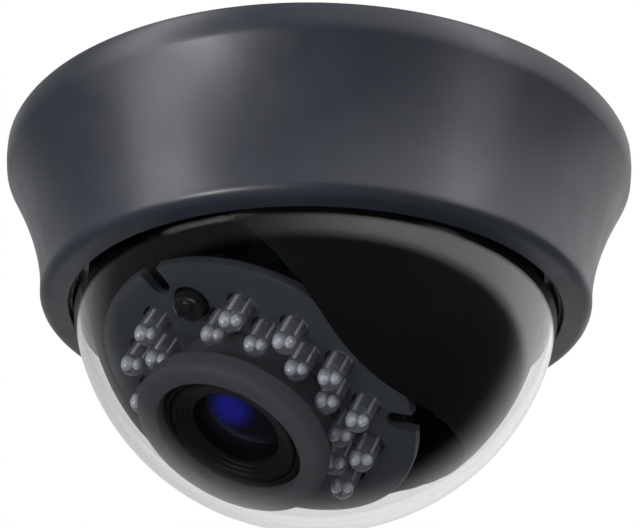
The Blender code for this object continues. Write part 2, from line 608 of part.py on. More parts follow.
def make_lens():
    mount_top = SENSOR_BOTTOM + MOUNT_HEIGHT
    turned("lens_mount", ring_points(MOUNT_BORE, MOUNT_RADIUS, SENSOR_BOTTOM, mount_top),
           BLACK, MEDIUM, closed=True, parent=sight)
    filter_bottom = SENSOR_BOTTOM + SENSOR_THICK + 0.8 * MM
    turned("ir_cut_filter",
           disc_points(MOUNT_BORE - GAP, filter_bottom, filter_bottom + FILTER_THICK),
           GLASS, SMALL, parent=sight)

    screw_radius = MOUNT_BORE - GAP
    screw_start = filter_bottom + FILTER_THICK + MM
    head_back = HEAD_FRONT - HEAD_LENGTH
    ring_seat = HEAD_FRONT - GAP - FRONT_RING_THICK
    glass_seat = ring_seat - GAP - GLASS_EDGE - GLASS_CROWN
    ring_outer = HEAD_RADIUS - 1.2 * MM
    turned("lens_barrel",
           [(HEAD_RADIUS, HEAD_FRONT), (HEAD_RADIUS, head_back), (BARREL_RADIUS, head_back),
            (BARREL_RADIUS, mount_top + GAP), (screw_radius, mount_top + GAP),
            (screw_radius, screw_start), (BARREL_BORE, screw_start),
            (BARREL_BORE, glass_seat - GAP), (GLASS_RADIUS + GAP, glass_seat - GAP),
            (GLASS_RADIUS + GAP, ring_seat - GAP), (ring_outer, ring_seat - GAP),
            (ring_outer, HEAD_FRONT)],
           BLACK, MEDIUM, closed=True, parent=sight)
    turned("rear_lens",
           disc_points(BARREL_BORE - GAP, screw_start + MM, screw_start + 3.0 * MM),
           GLASS, SMALL, parent=sight)

    crown = []
    for index in range(5):
        share = index / 4.0
        crown.append((GLASS_RADIUS * share,
                      glass_seat + GLASS_EDGE + GLASS_CROWN * (1.0 - share ** 2)))
    turned("front_lens", crown + [(GLASS_RADIUS, glass_seat), (0.0, glass_seat)],
           GLASS, MEDIUM, parent=sight)
    turned("lens_front_ring",
           ring_points(FRONT_RING_BORE, ring_outer - GAP, ring_seat, ring_seat + FRONT_RING_THICK),
           BLACK, MEDIUM, closed=True, parent=sight)

    ring_inner = BARREL_RADIUS + RUN_FIT
    ring_outer = ring_inner + LENS_RING_WALL
    for name, start, angle in (("zoom", ZOOM_START, ZOOM_SCREW_ANGLE),
                               ("focus", FOCUS_START, FOCUS_SCREW_ANGLE)):
        collar = turned(name + "_ring",
                        ring_points(ring_inner, ring_outer, start, start + LENS_RING_LENGTH),
                        BLACK, MEDIUM, closed=True, parent=sight)
        height = start + LENS_RING_LENGTH / 2.0
        bore = rod("lock_bore_tool", LOCK_SCREW_RADIUS + GAP,
                   polar(ring_inner - MM, angle, height), polar(ring_outer + MM, angle, height),
                   None, sides=TINY)
        combine(collar, cutter(bore, sight), "DIFFERENCE")
        turn = about_z(angle) @ Matrix.Translation((ring_outer + GAP, 0.0, height))
        turn = turn @ Matrix.Rotation(math.pi / 2.0, 4, "Y")
        shaft = -(LENS_RING_WALL + GAP - 0.4 * MM)
        turned(name + "_lock_screw",
               [(0.0, LOCK_HEAD_LENGTH), (LOCK_HEAD_RADIUS, LOCK_HEAD_LENGTH),
                (LOCK_HEAD_RADIUS, 0.0), (LOCK_SCREW_RADIUS, 0.0), (LOCK_SCREW_RADIUS, shaft),
                (0.0, shaft)],
               STEEL, TINY, parent=sight, matrix=turn)


# ---------------------------------------------------------------- LED ring and collar

def led_places():
    """Angle and radius of every LED: two staggered rings, each with two places left free."""
    pitch = 360.0 / RING_PLACES
    places = []
    for index in range(RING_PLACES):
        if index not in OUTER_EMPTY:
            places.append((OUTER_START + pitch * index, OUTER_RING))
        if index not in INNER_EMPTY:
            places.append((OUTER_START + pitch * (index - 0.5), INNER_RING))
    return places


def make_leds():
    plate_back = PLATE_FRONT - PLATE_THICK
    plate = turned("led_cover_plate",
                   [(PLATE_RADIUS - 0.6 * MM, PLATE_FRONT), (PLATE_RADIUS, PLATE_FRONT - 0.6 * MM),
                    (PLATE_RADIUS, plate_back), (PLATE_BORE, plate_back),
                    (PLATE_BORE, PLATE_FRONT)],
                   PLATE_GREY, FINE, closed=True, parent=sight)
    side = LED_RADIUS * math.cos(math.pi / 6.0)
    top = LED_LENGTH - LED_RADIUS
    points = [(0.0, LED_LENGTH), (LED_RADIUS * 0.5, top + side), (side, top + LED_RADIUS * 0.5),
              (LED_RADIUS, top), (LED_RADIUS, LED_FLANGE_THICK), (LED_FLANGE, LED_FLANGE_THICK),
              (LED_FLANGE, 0.0), (0.0, 0.0)]
    for number, (angle, radius) in enumerate(led_places(), start=1):
        turned(f"ir_led_{number:02d}", points, CLEAR, TINY, parent=sight,
               matrix=Matrix.Translation(polar(radius, angle, LED_FOOT)))
        hole = rod("led_hole_tool", LED_RADIUS + LED_HOLE_GAP,
                   polar(radius, angle, plate_back - MM), polar(radius, angle, PLATE_FRONT + MM),
                   None, sides=TINY)
        combine(plate, cutter(hole, sight), "DIFFERENCE")

    angle = OUTER_START + 360.0 / RING_PLACES * OUTER_EMPTY[0]
    turned("light_sensor",
           [(0.0, LIGHT_SENSOR_LENGTH), (0.5 * LIGHT_SENSOR_RADIUS, LIGHT_SENSOR_LENGTH - 0.4 * MM),
            (LIGHT_SENSOR_RADIUS, LIGHT_SENSOR_LENGTH - 2.0 * MM), (LIGHT_SENSOR_RADIUS, 0.0),
            (0.0, 0.0)],
           BLACK, SMALL, parent=sight,
           matrix=Matrix.Translation(polar(OUTER_RING, angle, LED_FOOT)))
    hole = rod("light_hole_tool", LIGHT_SENSOR_RADIUS + 0.6 * MM,
               polar(OUTER_RING, angle, plate_back - MM),
               polar(OUTER_RING, angle, PLATE_FRONT + MM), None, sides=TINY)
    combine(plate, cutter(hole, sight), "DIFFERENCE")
    for angle in NOTCH_ANGLES:
        notch = block("notch_tool", (2.0 * NOTCH_DEPTH, NOTCH_WIDTH, 3.0 * PLATE_THICK),
                      (PLATE_RADIUS, 0.0, PLATE_FRONT - PLATE_THICK / 2.0), None,
                      corner=0.48 * NOTCH_WIDTH, turn=about_z(angle))
        combine(plate, cutter(notch, sight), "DIFFERENCE")

    collar_back = PLATE_FRONT + GAP
    bore = HEAD_RADIUS + RUN_FIT
    turned("lens_collar",
           [(COLLAR_FRONT_RADIUS, COLLAR_FRONT),
            (0.5 * (COLLAR_FRONT_RADIUS + COLLAR_WIDEST) + 0.4 * MM, COLLAR_FRONT - 0.9 * MM),
            (COLLAR_WIDEST, COLLAR_FRONT - 3.0 * MM), (COLLAR_WIDEST, COLLAR_UNDERCUT + 1.4 * MM),
            (COLLAR_FOOT, COLLAR_UNDERCUT), (COLLAR_FOOT, collar_back), (bore, collar_back),
            (bore, COLLAR_FRONT - 0.8 * MM), (bore + 0.8 * MM, COLLAR_FRONT)],
           RUBBER, MEDIUM, closed=True, parent=sight)


def settle(piece):
    """Apply the modifiers of a finished piece and shade it smooth up to a sharp angle."""
    graph = bpy.context.evaluated_depsgraph_get()
    mesh = bpy.data.meshes.new_from_object(piece.evaluated_get(graph))
    piece.modifiers.clear()
    piece.data = mesh
    mesh.name = piece.name
    mesh.shade_smooth()
    mesh.set_sharp_from_angle(angle=math.radians(35.0))


make_base()
make_cover()
make_pan()
make_tilt()
make_frame()
make_lens()
make_leds()
for piece in [p for p in PARTS.objects if p.type == "MESH"]:
    settle(piece)
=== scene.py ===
"""Ceiling dome camera: the finished look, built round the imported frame."""
import json
import math

import bmesh
import bpy
from mathutils import Matrix, Vector

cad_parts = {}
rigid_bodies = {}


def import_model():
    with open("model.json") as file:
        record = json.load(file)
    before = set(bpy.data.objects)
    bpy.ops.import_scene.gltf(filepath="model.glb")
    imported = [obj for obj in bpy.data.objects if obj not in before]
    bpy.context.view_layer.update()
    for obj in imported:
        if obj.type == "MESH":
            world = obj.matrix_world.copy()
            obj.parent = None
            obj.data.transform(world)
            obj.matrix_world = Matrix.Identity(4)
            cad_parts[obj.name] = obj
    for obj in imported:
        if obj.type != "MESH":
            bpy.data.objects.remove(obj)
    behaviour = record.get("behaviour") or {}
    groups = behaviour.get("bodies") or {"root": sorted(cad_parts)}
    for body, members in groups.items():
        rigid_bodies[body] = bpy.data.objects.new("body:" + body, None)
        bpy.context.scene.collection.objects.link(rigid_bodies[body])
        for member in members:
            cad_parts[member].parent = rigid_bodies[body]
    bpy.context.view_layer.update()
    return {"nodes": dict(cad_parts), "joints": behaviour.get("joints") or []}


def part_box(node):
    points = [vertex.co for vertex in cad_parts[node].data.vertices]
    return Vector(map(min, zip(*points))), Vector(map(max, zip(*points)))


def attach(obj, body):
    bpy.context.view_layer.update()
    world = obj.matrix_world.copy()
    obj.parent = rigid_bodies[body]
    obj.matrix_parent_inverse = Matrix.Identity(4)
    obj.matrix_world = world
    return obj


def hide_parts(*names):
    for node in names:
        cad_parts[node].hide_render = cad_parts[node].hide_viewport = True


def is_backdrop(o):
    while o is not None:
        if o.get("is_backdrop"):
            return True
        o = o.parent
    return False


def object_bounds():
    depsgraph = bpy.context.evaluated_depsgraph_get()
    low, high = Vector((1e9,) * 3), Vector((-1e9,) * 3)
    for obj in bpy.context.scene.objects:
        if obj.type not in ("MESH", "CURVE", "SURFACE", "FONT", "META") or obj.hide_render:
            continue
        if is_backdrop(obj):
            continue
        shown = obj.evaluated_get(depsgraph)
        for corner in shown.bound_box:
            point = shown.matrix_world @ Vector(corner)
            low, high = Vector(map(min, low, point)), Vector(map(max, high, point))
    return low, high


for old in list(bpy.data.objects):
    bpy.data.objects.remove(old, do_unlink=True)
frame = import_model()
nodes = frame["nodes"]


# ---------------------------------------------------------------- camera, floor and studio light
# The object hangs from a ceiling and is looked at from below and to one side, over a plain
# pale floor. Two tall soft boxes stand either side and a small lamp fills in from low on the
# left. The surround is white to look at, and dimmer as a light.

MM = 0.001
LOOK_UP = math.radians(26.04)
LOOK_FROM = math.radians(50.0)
LOOK_ROLL = math.radians(1.28)
LOOK_LOW, LOOK_ASIDE = -21.96 * MM, 0.69 * MM
LOOK_DISTANCE = 393.9 * MM
LENS_MM, SENSOR_MM = 99.8, 36.0
FLOOR_DROP, FLOOR_HALF = 330 * MM, 3000 * MM

away = Vector((math.sin(LOOK_FROM) * math.cos(LOOK_UP),
               -math.cos(LOOK_FROM) * math.cos(LOOK_UP), -math.sin(LOOK_UP)))
level = (-away).cross(Vector((0.0, 0.0, 1.0))).normalized()
upright = level.cross(-away)
right = math.cos(LOOK_ROLL) * level + math.sin(LOOK_ROLL) * upright
upward = math.cos(LOOK_ROLL) * upright - math.sin(LOOK_ROLL) * level
camera = bpy.data.objects.new("studio_camera", bpy.data.cameras.new("studio_camera"))
camera.data.lens = LENS_MM
camera.data.sensor_width = SENSOR_MM
camera.data.clip_start = 10 * MM
stand = Vector((0.0, 0.0, LOOK_LOW)) + LOOK_ASIDE * level + LOOK_DISTANCE * away
turned = Matrix((right, upward, away)).transposed().to_4x4()
camera.matrix_world = Matrix.Translation(stand) @ turned
bpy.context.scene.collection.objects.link(camera)
bpy.context.scene.camera = camera
bpy.context.scene.view_settings.view_transform = "Standard"


def soft_box(name, side, height, aim_height, distance, size, watts, colour=(1.0, 1.0, 1.0)):
    """A rectangular light at an angle round from the lens, turned towards the object."""
    lamp = bpy.data.objects.new(name, bpy.data.lights.new(name, "AREA"))
    lamp.data.shape = "RECTANGLE"
    lamp.data.size, lamp.data.size_y = size
    lamp.data.energy = watts
    lamp.data.color = colour
    angle = LOOK_FROM + math.radians(side)
    spot = Vector((distance * math.sin(angle), -distance * math.cos(angle), height))
    lamp.matrix_world = Matrix.Translation(spot) @ (
        spot - Vector((0.0, 0.0, aim_height))).to_track_quat("Z", "Y").to_matrix().to_4x4()
    bpy.context.scene.collection.objects.link(lamp)


BOX_HEIGHT, BOX_AIM, BOX_DISTANCE, BOX_TALL = 0.22, -0.02, 0.80, 1.20
BOX_COLOUR = (1.0, 0.97, 1.0)
soft_box("left_soft_box", -57.0, BOX_HEIGHT, BOX_AIM, BOX_DISTANCE, (0.34, BOX_TALL), 6.2,
         BOX_COLOUR)
soft_box("right_soft_box", 55.0, BOX_HEIGHT, BOX_AIM, BOX_DISTANCE, (0.26, BOX_TALL), 2.7,
         BOX_COLOUR)
soft_box("low_left_fill", -40.0, -0.36, -0.05, 0.62, (0.16, 0.16), 7.0)

surround = bpy.data.worlds.new("white_surround")
surround.use_nodes = True
bpy.context.scene.world = surround


class Wire:
    """A socket of a node tree. Arithmetic on it adds Math nodes, and node() adds any other."""

    def __init__(self, socket):
        self.socket = socket

    def node(self, kind, settings, values, output=0):
        """Add a node: its own settings first, then the values or wires of its sockets."""
        tree = self.socket.id_data
        added = tree.nodes.new("ShaderNode" + kind)
        for key, setting in settings.items():
            setattr(added, key, setting)
        for key, value in values.items():
            if isinstance(value, Wire):
                tree.links.new(value.socket, added.inputs[key])
            else:
                added.inputs[key].default_value = value
        return Wire(added.outputs[output])

    def maths(self, operation, first, second):
        return self.node("Math", {"operation": operation}, {0: first, 1: second})

    def ramp(self, start, end, low=0.0, high=1.0):
        """Low before start, high after end, and smooth between them."""
        return self.node("MapRange", {"interpolation_type": "SMOOTHSTEP"}, {
            "Value": self, "From Min": start, "From Max": end, "To Min": low, "To Max": high})

    def dot(self, direction):
        return self.node("VectorMath", {"operation": "DOT_PRODUCT"},
                         {0: self, 1: direction}, 1)

    def __add__(self, other):
        return self.maths("ADD", self, other)

    def __mul__(self, other):
        return self.maths("MULTIPLY", self, other)

    def __rsub__(self, other):
        return self.maths("SUBTRACT", other, self)

    __radd__ = __add__
    __rmul__ = __mul__


# As a light, the surround is brighter to the right than to the left, nearly dark below the
# horizon on the viewer's side, and open beyond the object.
BELOW_HORIZON = 0.008
sky = surround.node_tree
toward = Wire(sky.nodes.new("ShaderNodeTexCoord").outputs["Generated"])
height_of = toward.dot((0.0, 0.0, 1.0))
to_right = toward.dot(level)
above_horizon = height_of.ramp(-0.06, 0.07)
ahead = BELOW_HORIZON + above_horizon * to_right.ramp(-0.7, 0.65, 0.10, 1.3)
beyond = toward.dot(-away).ramp(0.2, 0.85)
ambient = ahead * (1.0 - beyond) + beyond * to_right.ramp(-0.9, 0.5, 0.45, 0.9)
path = sky.nodes.new("ShaderNodeLightPath")
bounced = Wire(path.outputs["Glossy Depth"]) + Wire(path.outputs["Diffuse Depth"])
through = Wire(path.outputs["Is Transmission Ray"]) * (1.0 - bounced.ramp(0.0, 1.0))
seen = through.maths("MAXIMUM", through, Wire(path.outputs["Is Camera Ray"]))
strength = seen.maths("MAXIMUM", seen, ambient)
sky.links.new(strength.socket, sky.nodes["Background"].inputs["Strength"])
sky.nodes["Background"].inputs["Color"].default_value = (1.0, 1.0, 1.0, 1.0)

floor_shape = bmesh.new()
bmesh.ops.create_grid(floor_shape, x_segments=1, y_segments=1, size=FLOOR_HALF)
bmesh.ops.translate(floor_shape, vec=(0.0, 0.0, -FLOOR_DROP), verts=floor_shape.verts)
floor_mesh = bpy.data.meshes.new("studio_floor")
floor_shape.to_mesh(floor_mesh)
floor = bpy.data.objects.new("studio_floor", floor_mesh)
bpy.context.scene.collection.objects.link(floor)
floor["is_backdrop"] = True
floor.visible_glossy = floor.visible_transmission = False


# ---------------------------------------------------------------- housing cover
# A flared cup of moulded charcoal plastic with a fine satin grain. It is one moulding, with
# three bayonet ledges inside the rim and three catches above the lip for the clamp ring.

class Finish:
    """A material: constants go on its shader's own sockets, and wires on those that vary."""

    def __init__(self, name, **constants):
        self.material = bpy.data.materials.new(name)
        self.material.use_nodes = True
        self.tree = self.material.node_tree
        self.shader = self.tree.nodes["Principled BSDF"]
        self.place = Wire(self.tree.nodes.new("ShaderNodeTexCoord").outputs["Object"])
        for key, value in constants.items():
            self.shader.inputs[key.replace("_", " ")].default_value = value

    def drive(self, socket, wire):
        self.tree.links.new(wire.socket, self.shader.inputs[socket])

    def cloud(self, scale, detail=2.0):
        """Soft noise of one scale per metre, from 0 to 1."""
        return self.place.node("TexNoise", {}, {"Vector": self.place, "Scale": scale,
                                                "Detail": detail})

    def blend(self, share, first, second):
        """A colour between two others."""
        return share.node("Mix", {"data_type": "RGBA"}, {0: share, 6: first, 7: second}, 2)

    def between(self, share, low, high):
        """A share of 0.3 to 0.7, as noise mostly is, stretched to run from low to high."""
        return share.node("MapRange", {}, {"Value": share, "From Min": 0.3, "From Max": 0.7,
                                           "To Min": low, "To Max": high})

    def relief(self, height, depth, strength=1.0):
        bump = height.node("Bump", {}, {"Height": height, "Distance": depth,
                                        "Strength": strength})
        self.drive("Normal", bump)


def grained(name, dark, light, roughness, grain, depth, **constants):
    """Moulded plastic or rubber: two close tones, a fine grain and slightly uneven gloss."""
    made = Finish(name, **constants)
    tone = made.cloud(35.0, 4.0)
    fine = made.cloud(grain, 3.0)
    made.drive("Base Color", made.blend(made.between(tone, 0.0, 1.0), dark, light))
    made.drive("Roughness", made.between(made.cloud(120.0, 3.0), roughness - 0.04,
                                         roughness + 0.04))
    made.relief(fine, depth, 0.6)
    return made


def spun(profile, steps, closed=False):
    """A profile of (radius, height) points turned right round Z."""
    shape = bmesh.new()
    points = [shape.verts.new((radius, 0.0, height)) for radius, height in profile]
    for first, second in zip(points, points[1:] + points[:1] if closed else points[1:]):
        shape.edges.new((first, second))
    bmesh.ops.spin(shape, geom=shape.verts[:] + shape.edges[:], cent=(0.0, 0.0, 0.0),
                   axis=(0.0, 0.0, 1.0), dvec=(0.0, 0.0, 0.0), angle=2.0 * math.pi,
                   steps=steps, use_merge=True, use_duplicate=False)
    bmesh.ops.remove_doubles(shape, verts=shape.verts, dist=0.001 * MM)
    bmesh.ops.recalc_face_normals(shape, faces=shape.faces)
    return shape


def slab(size, centre, turn=0.0, edge=0.0):
    """A block with softened edges, turned by an angle round Z."""
    shape = bmesh.new()
    bmesh.ops.create_cube(shape, size=1.0)
    bmesh.ops.scale(shape, vec=size, verts=shape.verts)
    if edge:
        bmesh.ops.bevel(shape, geom=shape.edges[:], offset=edge, segments=2,
                        affect="EDGES", profile=0.5, material=-1)
    bmesh.ops.translate(shape, vec=centre, verts=shape.verts)
    bmesh.ops.rotate(shape, matrix=Matrix.Rotation(math.radians(turn), 3, "Z"),
                     verts=shape.verts)
    return shape


def join(shape, *others):
    """Put the faces of other shapes into one."""
    for other in others:
        spare = bpy.data.meshes.new("spare")
        other.to_mesh(spare)
        shape.from_mesh(spare)
        bpy.data.meshes.remove(spare)
        other.free()
    return shape


SHARP_ABOVE = 32.0


def piece(name, shape, body, replaced, finish, place=None, sharp=SHARP_ABOVE):
    """Make a finished piece from a shape, with its place in its mesh."""
    if place is not None:
        bmesh.ops.transform(shape, matrix=place, verts=shape.verts)
    mesh = bpy.data.meshes.new(name)
    shape.to_mesh(mesh)
    shape.free()
    mesh.shade_smooth()
    mesh.set_sharp_from_angle(angle=math.radians(sharp))
    mesh.materials.append(finish.material)
    made = bpy.data.objects.new(name, mesh)
    bpy.context.scene.collection.objects.link(made)
    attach(made, body)
    if replaced:
        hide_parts(*replaced)
    return made


RIM, RIM_BAND, WAIST = 70.0 * MM, 5.0 * MM, 60.0 * MM
LIP, LIP_ROUND, WALL = 36.0 * MM, 2.4 * MM, 2.2 * MM
OPENING = 53.68 * MM
LEDGE, LEDGE_OUT, LEDGE_HEIGHT = (4.1 * MM, 12.0 * MM, 2.0 * MM), 66.85 * MM, -3.2 * MM
CATCH, CATCH_OUT, CATCH_HEIGHT = (2.3 * MM, 8.4 * MM, 1.2 * MM), 57.95 * MM, -27.4 * MM
FLARE_BANDS, FLARE_POWER = 26, 1.7
STEPS = 180


def flare(height):
    """Outer radius of the housing at a height."""
    low = LIP_ROUND - LIP
    share = max(0.0, (height - low) / (-RIM_BAND - low))
    return WAIST + 0.97 * (RIM - WAIST) * share ** FLARE_POWER


housing_finish = grained("housing_plastic", (0.013, 0.016, 0.022, 1.0),
                         (0.019, 0.023, 0.031, 1.0), 0.37, 2600.0, 0.03 * MM)
heights = [-RIM_BAND - (LIP - LIP_ROUND - RIM_BAND) * i / FLARE_BANDS
           for i in range(FLARE_BANDS + 1)]
outside = [(RIM - 0.6 * MM, 0.0), (RIM - 0.2 * MM, -0.15 * MM), (RIM, -0.6 * MM),
           (RIM, -2.5 * MM)]
outside += [(flare(z), z) for z in heights]
for turn in range(15, 91, 15):
    outside.append((WAIST - LIP_ROUND + LIP_ROUND * math.cos(math.radians(turn)),
                    LIP_ROUND - LIP - LIP_ROUND * math.sin(math.radians(turn))))
inside = [(OPENING + 0.2 * MM, -LIP), (OPENING, 0.2 * MM - LIP),
          (OPENING, WALL - LIP), (WAIST - WALL, WALL - LIP)]
inside += [(flare(z) - WALL, z) for z in heights[::-1] if z > WALL - LIP + 0.4 * MM]
inside += [(RIM - WALL, -2.5 * MM), (RIM - WALL, 0.0)]
cover = spun(outside + inside, STEPS, closed=True)
for third in range(3):
    join(cover,
         slab(LEDGE, (LEDGE_OUT, 0.0, LEDGE_HEIGHT), 90.0 + 120.0 * third, 0.3 * MM),
         slab(CATCH, (CATCH_OUT, 0.0, CATCH_HEIGHT), 30.0 + 120.0 * third, 0.2 * MM))
piece("housing_shell", cover, "cover", ["housing_cover"], housing_finish)


# ---------------------------------------------------------------- base plate and cable grommet
# The base is a shallow moulded dish screwed to the ceiling through three slots. Its ceiling
# face is cored out between ribs, and a rubber grommet lines the hole for the cable.

def cut(target, *tools):
    """Cut shapes out of a finished piece."""
    for tool in tools:
        mesh = bpy.data.meshes.new("tool")
        tool.to_mesh(mesh)
        tool.free()
        spare = bpy.data.objects.new("tool", mesh)
        bpy.context.scene.collection.objects.link(spare)
        step = target.modifiers.new("cut", "BOOLEAN")
        step.operation = "DIFFERENCE"
        step.solver = "EXACT"
        step.object = spare
        graph = bpy.context.evaluated_depsgraph_get()
        result = bpy.data.meshes.new_from_object(target.evaluated_get(graph))
        target.modifiers.clear()
        spent = target.data
        target.data = result
        result.name = target.name
        bpy.data.meshes.remove(spent)
        bpy.data.objects.remove(spare, do_unlink=True)
        bpy.data.meshes.remove(mesh)
    target.data.shade_smooth()
    target.data.set_sharp_from_angle(angle=math.radians(SHARP_ABOVE))
    return target


def soften(target, width):
    """Round the edges of a piece that are sharper than 40 degrees."""
    step = target.modifiers.new("edge", "BEVEL")
    step.width = width
    step.segments = 2
    step.limit_method = "ANGLE"
    step.angle_limit = math.radians(40.0)
    step.harden_normals = True
    return target


def pill(width, length, height, centre, turn=0.0):
    """A slot-shaped block with round ends, long in Y before it is turned."""
    shape = bmesh.new()
    bmesh.ops.create_cube(shape, size=1.0)
    bmesh.ops.scale(shape, vec=(width, length, height), verts=shape.verts)
    upright_edges = [e for e in shape.edges
                     if abs(e.verts[0].co.z - e.verts[1].co.z) > 0.5 * height]
    bmesh.ops.bevel(shape, geom=upright_edges, offset=0.499 * min(width, length), segments=8,
                    affect="EDGES", profile=0.5, material=-1)
    bmesh.ops.translate(shape, vec=centre, verts=shape.verts)
    bmesh.ops.rotate(shape, matrix=Matrix.Rotation(math.radians(turn), 3, "Z"),
                     verts=shape.verts)
    return shape


def drill(radius, low, high, place=Matrix.Identity(4), sides=32):
    """A cylinder along Z between two heights."""
    shape = bmesh.new()
    bmesh.ops.create_cone(shape, cap_ends=True, segments=sides, radius1=radius,
                          radius2=radius, depth=high - low)
    bmesh.ops.translate(shape, vec=(0.0, 0.0, (low + high) / 2.0), verts=shape.verts)
    bmesh.ops.transform(shape, matrix=place, verts=shape.verts)
    return shape


def sector(inner, outer, low, high, start, sweep):
    """A pie-slice ring between two angles, in degrees."""
    shape = bmesh.new()
    corners = [shape.verts.new((r, 0.0, z)) for r, z in
               ((inner, low), (outer, low), (outer, high), (inner, high))]
    face = shape.faces.new(corners)
    bmesh.ops.spin(shape, geom=[face], cent=(0.0, 0.0, 0.0), axis=(0.0, 0.0, 1.0),
                   dvec=(0.0, 0.0, 0.0), angle=math.radians(sweep),
                   steps=max(4, int(sweep / 3)), use_merge=False, use_duplicate=False)
    bmesh.ops.rotate(shape, matrix=Matrix.Rotation(math.radians(start), 3, "Z"),
                     verts=shape.verts)
    bmesh.ops.recalc_face_normals(shape, faces=shape.faces)
    return shape


BASE, BASE_THICK, SKIRT, SKIRT_WALL = 64.2 * MM, 2.4 * MM, 7.0 * MM, 2.0 * MM
HUB, HUB_BORE, HUB_RECESS = 10.0 * MM, 3.3 * MM, 0.6 * MM
HUB_LOW = -(BASE_THICK + HUB_RECESS + 1.6 * MM + 0.3 * MM)
LUG, LUG_OUT, LUG_HEIGHT = (2.4 * MM, 14.0 * MM, 2.0 * MM), 64.4 * MM, -5.8 * MM
POST, POST_ASIDE = 1.6 * MM, 10.64 * MM
CABLE_HOLE, SLOT_OUT = 4.4 * MM, 57.0 * MM
SLOT_WIDTH, SLOT_LENGTH = 4.6 * MM, 9.0 * MM
POCKET_INNER, POCKET_OUTER, POCKET_DEPTH = 17.0 * MM, 47.0 * MM, 0.8 * MM
base_shape = spun([(0.0, 0.0), (BASE - 0.5 * MM, 0.0), (BASE - 0.15 * MM, -0.15 * MM),
                   (BASE, -0.5 * MM), (BASE, 0.2 * MM - SKIRT), (BASE - 0.2 * MM, -SKIRT),
                   (BASE - SKIRT_WALL, -SKIRT), (BASE - SKIRT_WALL, -BASE_THICK - 0.4 * MM),
                   (BASE - SKIRT_WALL - 0.4 * MM, -BASE_THICK),
                   (HUB, -BASE_THICK), (HUB, HUB_LOW), (HUB_BORE, HUB_LOW),
                   (HUB_BORE, -BASE_THICK - HUB_RECESS), (0.0, -BASE_THICK - HUB_RECESS)], STEPS)
for third in range(3):
    join(base_shape, slab(LUG, (LUG_OUT, 0.0, LUG_HEIGHT), 90.0 + 120.0 * third, 0.3 * MM))
board_low, board_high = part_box("power_board")
for aside in (-POST_ASIDE, POST_ASIDE):
    post_place = Matrix.Translation((aside, (board_low.y + board_high.y) / 2.0, 0.0))
    join(base_shape, drill(POST, board_high.z + 0.3 * MM, -BASE_THICK + 0.5 * MM, post_place, 20))
base = piece("base_dish", base_shape, "base", ["base_plate"],
             housing_finish)
grommet_low, grommet_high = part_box("cable_grommet")
grommet_place = Matrix.Translation(((grommet_low.x + grommet_high.x) / 2.0,
                                    (grommet_low.y + grommet_high.y) / 2.0, 0.0))
cut(base, drill(CABLE_HOLE, -4.0 * MM, MM, grommet_place))
for third in range(3):
    cut(base, pill(SLOT_WIDTH, SLOT_LENGTH, 4.0 * BASE_THICK, (SLOT_OUT, 0.0, -0.5 * BASE_THICK),
                   120.0 * third))
for pocket in range(6):
    cut(base, sector(POCKET_INNER, POCKET_OUTER, -POCKET_DEPTH, MM, 4.0 + 60.0 * pocket, 52.0))
soften(base, 0.15 * MM)

rubber_finish = grained("soft_rubber", (0.020, 0.021, 0.022, 1.0), (0.034, 0.035, 0.037, 1.0),
                        0.72, 3200.0, 0.03 * MM, Sheen_Weight=0.25, Sheen_Roughness=0.6)
neck, bore, flange = 4.1 * MM, 3.2 * MM, 5.3 * MM
piece("grommet", spun([(neck, -0.5 * MM), (neck, -2.7 * MM), (flange - 0.3 * MM, -2.7 * MM),
                       (flange, -3.0 * MM), (flange, -3.7 * MM), (neck + 0.3 * MM, -4.9 * MM),
                       (neck - 0.2 * MM, -5.1 * MM), (bore + 0.2 * MM, -5.1 * MM),
                       (bore, -4.9 * MM), (bore, -0.5 * MM), (bore + 0.2 * MM, -0.3 * MM),
                       (neck - 0.2 * MM, -0.3 * MM)], 48, closed=True),
      "base", ["cable_grommet"], rubber_finish, grommet_place)


# ---------------------------------------------------------------- clear dome, seal and clamp ring
# The dome is a polished clear acrylic moulding 1.2 mm thick. Its flange sits on a soft seal
# above the lip, and a black ring under the housing's three catches clamps it.

DOME_DROP, DOME, DOME_WALL, FLANGE = 28.0 * MM, 53.4 * MM, 1.2 * MM, 57.4 * MM
FLANGE_LOW, FLANGE_HIGH = -32.4 * MM, -30.6 * MM


def arc(radius, middle, start_height, count, downward=True):
    """Points on a sphere from a height down to its lowest point, or back up."""
    first = math.asin((start_height - middle) / radius)
    points = []
    for i in range(count + 1):
        angle = first + (-math.pi / 2.0 - first) * i / count
        points.append((0.0 if i == count else radius * math.cos(angle),
                       middle + radius * math.sin(angle)))
    return points if downward else points[::-1]


def let_light_in(finish, tint):
    """Let lamps and soft light pass a clear finish, as they pass a thin clear moulding."""
    path = finish.tree.nodes.new("ShaderNodeLightPath")
    passing = finish.tree.nodes.new("ShaderNodeBsdfTransparent")
    passing.inputs["Color"].default_value = tint
    shadow = Wire(path.outputs["Is Shadow Ray"])
    either = shadow.maths("MAXIMUM", shadow, Wire(path.outputs["Is Diffuse Ray"]))
    choice = finish.tree.nodes.new("ShaderNodeMixShader")
    finish.tree.links.new(either.socket, choice.inputs["Fac"])
    finish.tree.links.new(finish.shader.outputs[0], choice.inputs[1])
    finish.tree.links.new(passing.outputs[0], choice.inputs[2])
    last = finish.tree.nodes["Material Output"]
    finish.tree.links.new(choice.outputs[0], last.inputs["Surface"])


